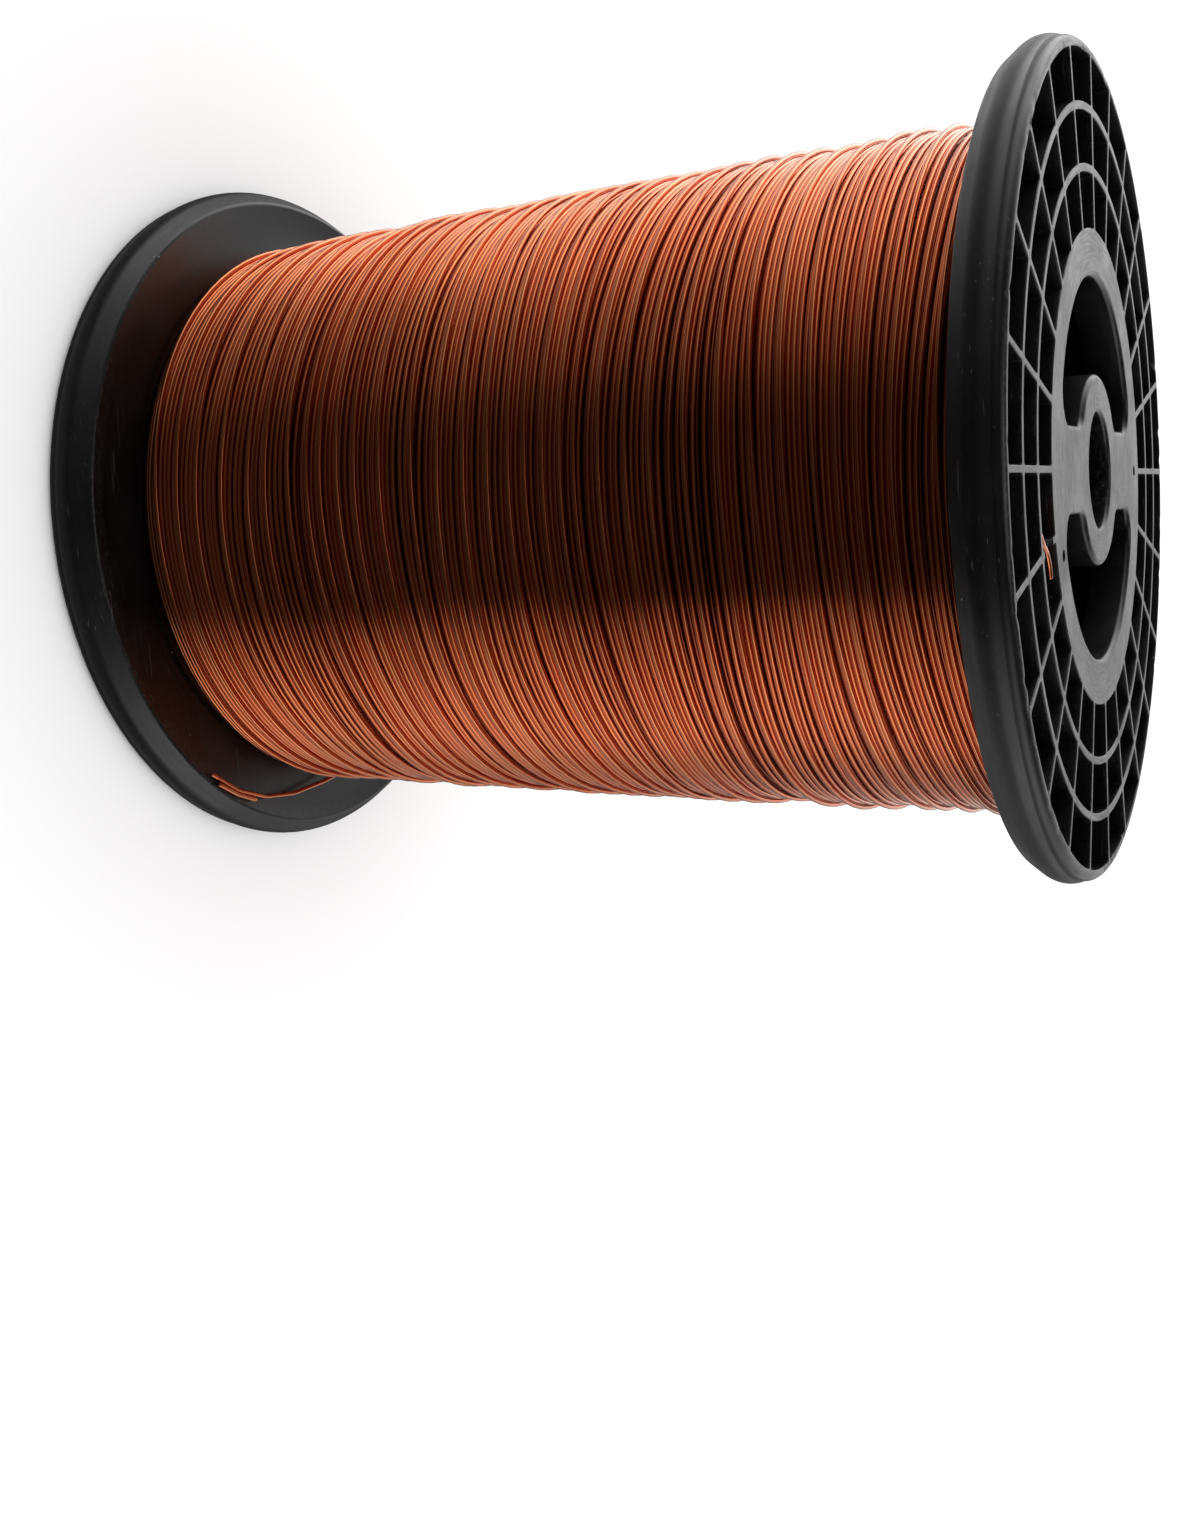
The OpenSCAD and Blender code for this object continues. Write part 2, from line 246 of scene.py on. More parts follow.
FLANGE_PLASTIC = plastic("black_plastic", (0.0016, 0.0016, 0.0018), 0.30, 1.0)
TUBE_PLASTIC = plastic("black_plastic_inside", (0.0020, 0.0020, 0.0023), 0.45, 0.3)
COPPER = enamelled_copper("enamelled_copper", (0.80, 0.225, 0.075), 0.0)
# The layer below is a darker copy of the copper with painted shade, as it lies in the shade of the outer
# layer.
COPPER_BELOW_SHADED = enamelled_copper("enamelled_copper_below_painted_shade", (0.60, 0.14, 0.045), 0.35)


# ------------------------------------------------------------------ flanges

# The flange's own sizes. Depth runs from the outer plane inwards.
LIP_MM, LIP_INSET_MM, LIP_ROUND_MM = 3.2, 0.8, 2.6
BELLY_R_MM, BELLY_DEPTH_MM, HOLLOW_R_MM = 6.4, 6.4, 1.5
CREST_R_MM, CREST_INSET_MM, CREST_DEPTH_MM = 1.6, 5.0, 14.2
FACE_DEPTH_MM, FLOOR_DEPTH_MM, DISH_MM = 13.2, 10.2, 12.0
SPOKES, SPOKE_MM, RING_MM = 24, 1.8, 2.2
RINGS_MM = (80.8, 96.5)
HUB_R_MM, HUB_T_MM = 65.2, 3.2
OPENING_R_MM, WEB_HALF_MM, OPENING_CORNER_MM = 52.5, 11.5, 7.5
COLLAR_MM, COLLAR_T_MM = 11.0, 1.6
BOSS_R_MM, BOSS_LEN_MM, BORE_R_MM = 26.4, 24.0, 16.0
SEAT_R_MM, SEAT_DEPTH_MM = 22.1, 12.0
BARREL_T_MM, BARREL_LOW_R_MM, PLAY_MM, GROOVE_MM = 3.0, 66.0, 0.1, 1.5
ANCHOR_R_MM, ANCHOR_HOLE_MM, ANCHOR_EDGE_MM = 57.5, 1.5, 0.25
ANCHOR_ANGLES = (90, -68)
ENTRY_R_MM, ENTRY_ANGLE, ENTRY_HOLE_MM, ENTRY_SKIN_MM = 78.2, -83, 1.3, 0.4
NOTCH_ANGLE, NOTCH_FROM_MM, NOTCH_TO_MM, NOTCH_DEPTH_MM = -75, 68.4, 78.6, 3.4

# Its edges, the rows of points down a rib's side, and the steps round the axis and a small hole.
RIB_ROUND_MM, RIB_DRAFT_MM, FLOOR_ROUND_MM, POCKET_CORNER_MM = 0.32, 0.12, 0.8, 0.9
OPENING_ROUND_MM, BORE_ROUND_MM = 1.5, 1.2
RIB_ROWS_MM = (1.6, 3.2, 3.6, 5.4, 7.4)
AROUND, AROUND_HOLE = 384, 24

# Pale wear, from 0 to 1, and the dents in the lip.
LIP_WEAR, CREST_WEAR, EDGE_WEAR, ROUND_WEAR = 0.4, 0.2, 0.5, 0.15
PLANE_WEAR, OPENING_WEAR, BORE_WEAR = 0.15, 0.35, 0.3
LIP_WORN_MM, CREST_WORN_MM, OPENING_WORN_MM = 0.4, 0.5, 0.7
TOP_DENTS, BOTTOM_DENTS = 46, 30
DENT_SIZE_MM, DENT_DEPTH_MM, DENT_REACH_MM = (0.5, 1.3), (0.15, 0.5), 1.5
WEAR_OF_DENT = 2.5  # wear for each millimetre of a dent's depth


def arc(centre, r, start, end, count):
    """Points on an arc, from the start angle to the end one."""
    return np.asarray(centre) + polar(r, np.linspace(start, end, count + 1))


def rounded_edge(r, steps=4):
    """Pairs of depth and growth for an edge rounded to radius r, from the outer plane down."""
    a = np.radians(np.linspace(0, 90, steps + 1))
    return [(r - r * math.cos(t), r - r * math.sin(t)) for t in a]


def mirror_loop(half, degrees):
    """Closes half an outline with its mirror image about the line at this angle."""
    c, s = math.cos(math.radians(2 * degrees)), math.sin(math.radians(2 * degrees))
    other = np.stack([half[:, 0] * c + half[:, 1] * s, half[:, 0] * s - half[:, 1] * c], -1)
    return np.concatenate([half, other[-2:0:-1]])


def pocket(r_in, r_out, turn, grow):
    """Outline of the recess between two spokes and two rings, grown by an amount."""
    pitch = 360 / SPOKES
    inner, outer = r_in - grow, r_out + grow
    corner, side = POCKET_CORNER_MM + grow, SPOKE_MM / 2 - grow
    low = side + corner
    x_in = math.sqrt((inner + corner) ** 2 - low ** 2)
    x_out = math.sqrt((outer - corner) ** 2 - low ** 2)
    a_in, a_out = math.degrees(math.atan2(low, x_in)), math.degrees(math.atan2(low, x_out))
    steps = max(6, round((r_out - r_in) / 1.1))
    half = np.concatenate([
        arc((0, 0), inner, pitch / 2, a_in, 6)[:-1],
        arc((x_in, low), corner, a_in + 180, 270, 3)[:-1],
        np.linspace((x_in, side), (x_out, side), steps + 1)[:-1],
        arc((x_out, low), corner, -90, a_out, 3)[:-1],
        arc((0, 0), outer, a_out, pitch / 2, 6),
    ])
    loop = mirror_loop(half, pitch / 2)
    c, s = math.cos(math.radians(turn)), math.sin(math.radians(turn))
    return loop @ np.array([[c, s], [-s, c]])


def hand_opening(side, grow):
    """Outline of one hand opening, a crescent round the boss, grown by an amount."""
    r_in, r_out = BOSS_R_MM - grow, OPENING_R_MM + grow
    x, c = WEB_HALF_MM - grow, OPENING_CORNER_MM + grow
    y_in = math.sqrt((r_in + c) ** 2 - (x + c) ** 2)
    y_out = math.sqrt((r_out - c) ** 2 - (x + c) ** 2)
    a_in, a_out = math.degrees(math.atan2(y_in, x + c)), math.degrees(math.atan2(y_out, x + c))
    half = np.concatenate([
        arc((0, 0), r_out, 0, a_out, 36)[:-1],
        arc((x + c, y_out), c, a_out, 180, 10)[:-1],
        np.linspace((x, y_out), (x, y_in), 13)[:-1],
        arc((x + c, y_in), c, 180, a_in + 180, 10)[:-1],
        arc((0, 0), r_in, a_in, 0, 20),
    ])
    return mirror_loop(half, 0) * (side, 1)


def rim_profile(R, barrel_r):
    """Points of radius and depth from the lip, round the rim, along the inner face and into the hub."""
    lip = R - LIP_INSET_MM
    belly = np.array([R - BELLY_R_MM, BELLY_DEPTH_MM])
    crest = np.array([R - CREST_INSET_MM, CREST_DEPTH_MM - CREST_R_MM])
    reach = BELLY_R_MM + HOLLOW_R_MM
    hollow_x = lip + HOLLOW_R_MM
    hollow_y = BELLY_DEPTH_MM - math.sqrt(reach ** 2 - (hollow_x - belly[0]) ** 2)
    touch = math.degrees(math.atan2(hollow_y - belly[1], hollow_x - belly[0]))
    way = crest - belly
    tilt = math.acos((BELLY_R_MM - CREST_R_MM) / np.linalg.norm(way))
    bridge = math.degrees(math.atan2(way[1], way[0]) - tilt)
    outer, rise = R - CREST_INSET_MM, CREST_DEPTH_MM - FACE_DEPTH_MM
    dish_r = (DISH_MM ** 2 + rise ** 2) / (2 * rise)
    dish = [(outer - t, FACE_DEPTH_MM + dish_r - math.sqrt(dish_r ** 2 - (DISH_MM - t) ** 2))
            for t in np.linspace(0.4, DISH_MM, 10)]
    groove = barrel_r + PLAY_MM
    groove_in = barrel_r - BARREL_T_MM - PLAY_MM
    return np.concatenate([
        arc((lip - LIP_ROUND_MM, LIP_ROUND_MM), LIP_ROUND_MM, -90, 0, 12),
        arc((hollow_x, hollow_y), HOLLOW_R_MM, 180, touch + 180, 4),
        arc(belly, BELLY_R_MM, touch, bridge, 22)[1:],
        arc(crest, CREST_R_MM, bridge, 92, 7),
        dish,
        [((outer - DISH_MM + groove) / 2, FACE_DEPTH_MM), (groove, FACE_DEPTH_MM),
         (groove, FACE_DEPTH_MM - GROOVE_MM), (groove_in, FACE_DEPTH_MM - GROOVE_MM),
         (groove_in, FACE_DEPTH_MM), (HUB_R_MM - HUB_T_MM, FACE_DEPTH_MM),
         (HUB_R_MM - HUB_T_MM, HUB_T_MM)],
    ])


class FlangeMesh:
    """Builds one flange from walls, revolved bands and filled planes, then welds them."""

    def __init__(self, plane_z, inwards, dent):
        self.bm = bmesh.new()
        self.wear = self.bm.verts.layers.float.new("wear")
        self.plane_z, self.inwards, self.dent = plane_z, inwards, dent

    def verts(self, loop, depth, wear=0.0):
        """Adds a loop's vertices at a depth."""
        made = []
        for x, y in loop:
            v = self.bm.verts.new((x * MM, y * MM, self.plane_z + self.inwards * depth * MM))
            v[self.wear] = wear
            made.append(v)
        return made

    def band(self, a, b):
        """Joins two closed rows of vertices with quads."""
        count = len(a)
        for i in range(count):
            j = (i + 1) % count
            self.bm.faces.new((a[i], a[j], b[j], b[i])).smooth = True

    def wall(self, outline, steps):
        """A wall that follows an outline: steps are rows of depth, growth and wear."""
        rows = [self.verts(outline(grow), depth, wear) for depth, grow, wear in steps]
        for a, b in zip(rows, rows[1:]):
            self.band(a, b)

    def fill(self, loops, depth, wear=0.0):
        """Fills the plane at a depth inside the first loop and outside the others."""
        edges = []
        for loop in loops:
            row = self.verts(loop, depth, wear)
            edges += [self.bm.edges.new((row[i - 1], row[i])) for i in range(len(row))]
        made = bmesh.ops.triangle_fill(self.bm, edges=edges, use_beauty=True, normal=(0, 0, 1))
        for face in made["geom"]:
            if isinstance(face, bmesh.types.BMFace):
                face.smooth = False

    def finish(self, name, node):
        """Welds the parts, dents the damaged places and makes the piece."""
        bmesh.ops.remove_doubles(self.bm, verts=self.bm.verts, dist=2e-6)
        for v in self.bm.verts:
            depth = (v.co.z - self.plane_z) * self.inwards / MM
            lowered = self.dent(v.co.x / MM, v.co.y / MM, depth) - depth
            v.co.z += self.inwards * lowered * MM
            v[self.wear] += min(1.0, WEAR_OF_DENT * lowered)
        bmesh.ops.recalc_face_normals(self.bm, faces=self.bm.faces)
        mesh = bpy.data.meshes.new(name)
        self.bm.to_mesh(mesh)
        self.bm.free()
        piece = make_piece(mesh, node, FLANGE_PLASTIC)
        piece.modifiers.new("weighted_normals", "WEIGHTED_NORMAL").keep_sharp = True


def union_with_boss(loop):
    """The part of a collar's outline outside the boss, with its two points on the boss."""
    r = np.hypot(loop[:, 0], loop[:, 1])
    outside = r > BOSS_R_MM
    start = next(i for i in range(len(loop)) if outside[i] and not outside[i - 1])
    order = [(start + i) % len(loop) for i in range(int(outside.sum()))]

    def crossing(inner, outer):
        share = (BOSS_R_MM - r[inner]) / (r[outer] - r[inner])
        p = loop[inner] + share * (loop[outer] - loop[inner])
        return p * BOSS_R_MM / np.linalg.norm(p)

    first = crossing((start - 1) % len(loop), start)
    last = crossing((order[-1] + 1) % len(loop), order[-1])
    return np.concatenate([[first], loop[order], [last]])


def arc_between(p, q, count=8):
    """Points between p and q on the boss, without either."""
    a, b = math.degrees(math.atan2(p[1], p[0])), math.degrees(math.atan2(q[1], q[0]))
    sweep = (b - a + 180) % 360 - 180
    return arc((0, 0), BOSS_R_MM, a, a + sweep, count)[1:-1]


def rim_wear(depth):
    """Wear of the rim at a depth, on its lip and on its crest."""
    if depth < LIP_WORN_MM:
        return LIP_WEAR
    return CREST_WEAR if depth > CREST_DEPTH_MM - CREST_WORN_MM else 0.0


def add_rim(mesh, R, barrel_r):
    """Rim, dish, inner face and the hub wall's inside, turned about the axis."""
    turns = np.arange(AROUND) * 360 / AROUND
    profile = rim_profile(R, barrel_r)
    rows = [mesh.verts(polar(r, turns), depth, rim_wear(depth)) for r, depth in profile]
    for a, b in zip(rows, rows[1:]):
        mesh.band(a, b)
    return polar(profile[0][0], turns), polar(profile[-1][0], turns)


def add_recess(mesh, R, drilled):
    """The pockets between spokes and rings. Returns their outlines in the outer plane."""
    half = RING_MM / 2
    bands = ((HUB_R_MM, RINGS_MM[0] - half), (RINGS_MM[0] + half, RINGS_MM[1] - half),
             (RINGS_MM[1] + half, R - LIP_INSET_MM - LIP_MM))
    wall = [(d, g, EDGE_WEAR if d < RIB_ROUND_MM * 0.5 else ROUND_WEAR)
            for d, g in rounded_edge(RIB_ROUND_MM)]
    wall += [(d, -RIB_DRAFT_MM * d / FLOOR_DEPTH_MM, 0.0) for d in RIB_ROWS_MM]
    foot = [(FLOOR_DEPTH_MM - FLOOR_ROUND_MM + d, -RIB_DRAFT_MM - FLOOR_ROUND_MM + g, 0.0)
            for d, g in ((FLOOR_ROUND_MM * math.sin(a), FLOOR_ROUND_MM * math.cos(a))
                         for a in np.radians([0, 30, 60, 90]))]
    pitch = 360 / SPOKES
    outlines = []
    for r_in, r_out in bands:
        for turn in (i * 360 / SPOKES for i in range(SPOKES)):
            mesh.wall(lambda grow: pocket(r_in, r_out, turn, grow), wall + foot)
            outlines.append(pocket(r_in, r_out, turn, RIB_ROUND_MM))
            floor = [pocket(r_in, r_out, turn, foot[-1][1])]
            if drilled and r_in == HUB_R_MM and turn <= ENTRY_ANGLE % 360 < turn + pitch:
                floor.append(add_entry(mesh))
            mesh.fill(floor, FLOOR_DEPTH_MM)
    return outlines


def add_entry(mesh):
    """The hole through which the wire's start comes up. Returns its outline."""
    hole = polar(ENTRY_R_MM, ENTRY_ANGLE) + polar(ENTRY_HOLE_MM, np.arange(20) * 18)
    bottom = FACE_DEPTH_MM - ENTRY_SKIN_MM
    mesh.wall(lambda grow: hole, [(FLOOR_DEPTH_MM, 0, 0), (bottom, 0, 0)])
    mesh.fill([hole], bottom)
    return hole


def collar_lines():
    """The collar of the +X opening: its outer line, the opening's line that the collar follows, the
    short lines between them on the boss, and the opening's own line on the boss."""
    run = union_with_boss(hand_opening(1, COLLAR_T_MM))
    inner = hand_opening(1, 0)
    beyond = np.hypot(inner[:, 0], inner[:, 1]) > BOSS_R_MM + 1e-6
    start = next(i for i in range(len(inner)) if beyond[i] and not beyond[i - 1])
    order = [(start - 1 + i) % len(inner) for i in range(int(beyond.sum()) + 2)]
    rest = [(order[-1] + 1 + i) % len(inner) for i in range(len(inner) - len(order))]
    kept = inner[order]
    middle = np.concatenate([kept[-1:], inner[rest], kept[:1]])
    return run, kept, arc_between(run[-1], kept[-1], 3), arc_between(kept[0], run[0], 3), middle


def add_openings(mesh):
    """Hand openings, collars and boss. Returns their outlines in the outer plane and below the hub."""
    edge = [(d, g, OPENING_WEAR if d < OPENING_WORN_MM else 0.0)
            for d, g in rounded_edge(OPENING_ROUND_MM, 6)]
    run, kept, short_a, short_b, middle = collar_lines()
    collar_end = np.concatenate([run, short_a, kept[::-1], short_b])
    outlines = []
    for side in (1, -1):
        mesh.wall(lambda grow: hand_opening(side, grow), edge + [(5.0, 0, 0), (COLLAR_MM, 0, 0)])
        outlines.append(hand_opening(side, OPENING_ROUND_MM))
        mesh.fill([collar_end * (side, 1)], COLLAR_MM)

    flip = np.array([-1, 1])
    far_run = (run * flip)[::-1]
    over_top, under = arc_between(run[-1], far_run[0]), arc_between(far_run[-1], run[0])
    union = np.concatenate([run, over_top, far_run, under])
    inner_side = np.concatenate([short_a, middle, short_b])
    boss = np.concatenate([[run[-1]], over_top, [far_run[0]], inner_side * flip, [far_run[-1]],
                           under, [run[0]], inner_side[::-1]])
    boss_angle = np.degrees(np.arctan2(boss[:, 1], boss[:, 0]))
    seat = SEAT_DEPTH_MM - PLAY_MM
    mouth = [(d, BORE_R_MM + g, BORE_WEAR) for d, g in rounded_edge(BORE_ROUND_MM, 6)[::-1]]
    mesh.wall(lambda grow: union, [(HUB_T_MM, 0, 0), (COLLAR_MM, 0, 0)])
    mesh.wall(lambda r: polar(r, boss_angle), [
        (COLLAR_MM, BOSS_R_MM, 0), (BOSS_LEN_MM, BOSS_R_MM, 0), (BOSS_LEN_MM, SEAT_R_MM, 0),
        (seat, SEAT_R_MM, 0), (seat, BORE_R_MM, 0)] + mouth)
    outlines.append(polar(BORE_R_MM + BORE_ROUND_MM, boss_angle))
    return outlines, union


def add_anchors(mesh):
    """Holes for a wire end through the hub. Returns their outlines on top and below."""
    above, below = [], []
    circle = np.arange(AROUND_HOLE) * 360 / AROUND_HOLE
    for angle in ANCHOR_ANGLES:
        centre = polar(ANCHOR_R_MM, angle)
        mesh.wall(lambda grow: centre + polar(ANCHOR_HOLE_MM + grow, circle),
                  [(0, ANCHOR_EDGE_MM, EDGE_WEAR), (ANCHOR_EDGE_MM, 0, 0), (HUB_T_MM, 0, 0)])
        above.append(centre + polar(ANCHOR_HOLE_MM + ANCHOR_EDGE_MM, circle))
        below.append(centre + polar(ANCHOR_HOLE_MM, circle))
    return above, below


def build_flange(name, node, R, barrel_r, plane_z, inwards, dent, drilled):
    """One whole flange of radius R, with its rim, recess, hub, openings and boss."""
    mesh = FlangeMesh(plane_z, inwards, dent)
    lip, hub_inside = add_rim(mesh, R, barrel_r)
    pockets = add_recess(mesh, R, drilled)
    openings, union = add_openings(mesh)
    above, below = add_anchors(mesh) if drilled else ([], [])
    mesh.fill([hub_inside, union] + below, HUB_T_MM)
    mesh.fill([lip] + pockets + openings + above, 0.0, PLANE_WEAR)
    mesh.finish(name, node)


def make_dents(R, count, notched):
    """A function that lowers the lip where it is chipped, at seeded places, and the notched spoke."""
    at = rng.uniform(0, 360, count)
    where = polar(R - LIP_INSET_MM - rng.choice([LIP_ROUND_MM - 0.3, LIP_MM - 0.2], count), at)
    size, deep = rng.uniform(*DENT_SIZE_MM, count), rng.uniform(*DENT_DEPTH_MM, count)
    along = polar(1, NOTCH_ANGLE)

    def dent(x, y, depth):
        if depth > FLOOR_DEPTH_MM - 2 * FLOOR_ROUND_MM or math.hypot(x, y) < HUB_R_MM + 1:
            return depth
        near = (where[:, 0] - x) ** 2 + (where[:, 1] - y) ** 2
        chipped = float((deep * np.exp(-near / size ** 2)).max()) if depth < DENT_REACH_MM else 0.0
        lowered = depth + chipped
        u, v = x * along[0] + y * along[1], y * along[0] - x * along[1]
        if notched and abs(v) < SPOKE_MM and NOTCH_FROM_MM < u < NOTCH_TO_MM:
            ragged = NOTCH_DEPTH_MM - 0.5 * math.sin(1.9 * u) ** 2
            lowered = max(lowered, ragged)
        return lowered
    return dent


def build_flanges():
    """Both flanges, each sized and placed from its CAD node."""
    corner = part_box("top_flange")[1]
    R = corner.x / MM
    build_flange("top_flange_moulding", "top_flange", R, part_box("barrel")[1].x / MM, corner.z, -1,
                 make_dents(R, TOP_DENTS, True), True)
    low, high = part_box("bottom_flange")
    R = high.x / MM
    build_flange("bottom_flange_moulding", "bottom_flange", R, BARREL_LOW_R_MM, low.z, 1,
                 make_dents(R, BOTTOM_DENTS, False), False)


build_flanges()


# ------------------------------------------------------------------ wire

STEPS = 88  # points in one turn
WIRE_SIDES, BELOW_SIDES, LEAD_SIDES = 8, 6, 14
WINDING_LOW, WINDING_HIGH = (corner.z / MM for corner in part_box("outer_winding"))

# The profile of the outer layer, through the centres of its wires.
TOP_R_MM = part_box("outer_winding")[1].x / MM - WIRE_MM / 2
TAPER_MM, SWELL_MM = 9.2, 0.5
SHOULDER_LOW_MM, SHOULDER_HIGH_MM = 9.0, 5.0
SETTLE_LOW_MM, SETTLE_HIGH_MM = 16, 10

# The layer below is close wound. The outer layer has touching turns, and gaps between bunches of them.
BELOW_MM, PITCH_BELOW_MM, BELOW_FROM = 1.28, 1.56, 40
TOUCHING_SHARE, TIGHT_GAP_MM, OPEN_GAP_MM = 0.58, (0.01, 0.14), (0.15, 1.5)
EVEN_TURNS, EVEN_SHARE = 14, 0.35
CLOSEST = 0.985  # the least distance between turns, in wire thicknesses

# The last run lies on top of the outer layer. At its lower end, the wire leaves the winding at an azimuth.
LAST_TOP_MM, LAST_LOW_MM, LAST_TURNS, LAST_STEPS = 3.0, 5.6, 33, (0.45, 1.6)
LEAVES_AT = 8.0

# Numbers from which the turns of each run are counted. The copper's tone follows them.
LAST_NUMBER, BELOW_NUMBER = 500.37, 1000.61
START_NUMBER, FINISH_NUMBER, TAIL_NUMBER = 2000.2, 2100.4, 2101.1


def lay_r(z):
    """Radius to the wire's centre in the outer layer at a height, without its unevenness."""
    share = (z - WINDING_LOW) / (WINDING_HIGH - WINDING_LOW)
    r = TOP_R_MM - TAPER_MM * (1 - share) + SWELL_MM * 4 * share * (1 - share)
    for gap, s in ((z - WINDING_LOW, SHOULDER_LOW_MM), (WINDING_HIGH - z, SHOULDER_HIGH_MM)):
        gap = np.clip(gap, 0, s)
        r = r - (s - np.sqrt(s * s - (s - gap) ** 2))
    return r


class Waves:
    """A smooth field over height and azimuth, the sum of a few waves round the spool."""

    def __init__(self, size, rounds, length):
        self.waves = [(size * rng.uniform(0.5, 1.0) / math.sqrt(m), m, rng.uniform(0, 2 * math.pi),
                       rng.uniform(-1, 1) * 2 * math.pi / length) for m in rounds]

    def __call__(self, z, azimuth):
        a = np.radians(azimuth)
        return sum(size * np.sin(m * a + phase + k * z) for size, m, phase, k in self.waves)


def smooth_run(values, reach):
    """Smooths a run of values along the wire."""
    kernel = np.hanning(2 * reach + 3)[1:-1]
    padded = np.pad(values, reach, mode="edge")
    return np.convolve(padded, kernel / kernel.sum(), mode="valid")


def wander(count, size, reach):
    """A smooth random run of a given size, with bends about reach samples apart."""
    knots = rng.normal(0, size, count // reach + 3)
    return smooth_run(np.interp(np.arange(count) / reach, np.arange(len(knots)), knots), max(1, reach // 3))


def tube(centres, sideways, r, sides):
    """Vertices, quads and end caps of a round wire along a run of points. Each section starts from
    the point's sideways direction, which is roughly square to the run."""
    along = np.gradient(centres, axis=0)
    along /= np.linalg.norm(along, axis=1)[:, None]
    a = sideways - (sideways * along).sum(1)[:, None] * along
    a /= np.linalg.norm(a, axis=1)[:, None]
    b = np.cross(along, a)
    t = np.arange(sides) * 2 * np.pi / sides
    ring = a[:, None, :] * np.cos(t)[None, :, None] + b[:, None, :] * np.sin(t)[None, :, None]
    verts = (centres[:, None, :] + np.reshape(r, (-1, 1, 1)) * ring).reshape(-1, 3)
    i = np.arange(len(centres) - 1)[:, None] * sides
    j = np.arange(sides)[None, :]
    k = (j + 1) % sides
    quads = np.stack([i + j, i + k, i + sides + k, i + sides + j], -1).reshape(-1, 4)
    last = (len(centres) - 1) * sides
    caps = [list(range(sides))[::-1], list(range(last, last + sides))]
    return verts, quads, caps


def wire_piece(name, node, runs, material, sides):
    """One piece from runs of wire. A run is its points, sideways directions, numbers and radii."""
    all_verts, faces, numbers, start = [], [], [], 0
    for centres, sideways, number, r in runs:
        verts, quads, caps = tube(centres, sideways, r, sides)
        all_verts.append(verts)
        faces += (quads + start).tolist() + [[c + start for c in cap] for cap in caps]
        numbers.append(np.repeat(number, sides))
        start += len(verts)
    mesh = bpy.data.meshes.new(name)
    mesh.from_pydata((np.concatenate(all_verts) * MM).tolist(), [], faces)
    mesh.polygons.foreach_set("use_smooth", [True] * len(mesh.polygons))
    run = mesh.attributes.new("run", "FLOAT", "POINT")
    run.data.foreach_set("value", np.concatenate(numbers).astype(np.float32))
    make_piece(mesh, node, material)


def around_spool(r, azimuth, z):
    """Points at radii, azimuths and heights, in millimetres."""
    return np.stack([r * np.cos(np.radians(azimuth)), r * np.sin(np.radians(azimuth)), z], -1)


def outwards(azimuth):
    """Directions straight out from the axis."""
    return around_spool(1.0, azimuth, np.zeros(len(azimuth)))


# How far turns lie above or below their level, and in or out of the profile, in millimetres.
drift = Waves(size=1.1, rounds=(1, 2, 3, 4), length=46)
unevenness = Waves(size=0.26, rounds=(1, 2, 3, 5), length=17)


def settle(z):
    """Keeps drift and unevenness away from the flanges."""
    return smoothstep(0, SETTLE_LOW_MM, z - WINDING_LOW) * smoothstep(0, SETTLE_HIGH_MM, WINDING_HIGH - z)


def rest_r(z, azimuth, wire_z):
    """Radius of a wire that rests in or over the grooves of the layer below it."""
    off = np.abs((wire_z / PITCH_BELOW_MM + 0.5) % 1 - 0.5) * PITCH_BELOW_MM
    ride = np.sqrt(WIRE_MM ** 2 - off ** 2) - math.sqrt(WIRE_MM ** 2 - (PITCH_BELOW_MM / 2) ** 2)
    return lay_r(z) + unevenness(z, azimuth) * settle(z) + ride


def lay_outer_layer():
    """The layer laid upwards: touching turns in bunches, with gaps between the bunches."""
    turns = int((WINDING_HIGH - WINDING_LOW) / WIRE_MM) + 4
    gaps = np.where(rng.random(turns) < TOUCHING_SHARE, rng.uniform(*TIGHT_GAP_MM, turns),
                    rng.uniform(*OPEN_GAP_MM, turns))
    gaps[:EVEN_TURNS] *= EVEN_SHARE
    levels = WINDING_LOW + WIRE_MM / 2 + np.concatenate([[0], np.cumsum(WIRE_MM + gaps)])
    count = turns * STEPS
    turn = np.arange(count + 1) / STEPS
    azimuth = LEAVES_AT - 360 * turn
    z = np.interp(turn, np.arange(turns + 1), levels)
    z = z + settle(z) * (drift(z, azimuth) + wander(count + 1, 0.30, 26))
    z = np.maximum(z, WINDING_LOW + WIRE_MM / 2)
    for i in range(STEPS, count + 1, STEPS):
        here = slice(i, min(i + STEPS, count + 1))
        z[here] = np.maximum(z[here], z[i - STEPS:here.stop - STEPS] + WIRE_MM * CLOSEST)
    end = int(np.argmax(z > WINDING_HIGH - WIRE_MM / 2)) or count
    z, azimuth, turn = z[:end], azimuth[:end], turn[:end]
    z = smooth_run(z, 2)
    r = rest_r(z, azimuth, z - settle(z) * drift(z, azimuth))
    return smooth_run(r, 2), azimuth, z, turn


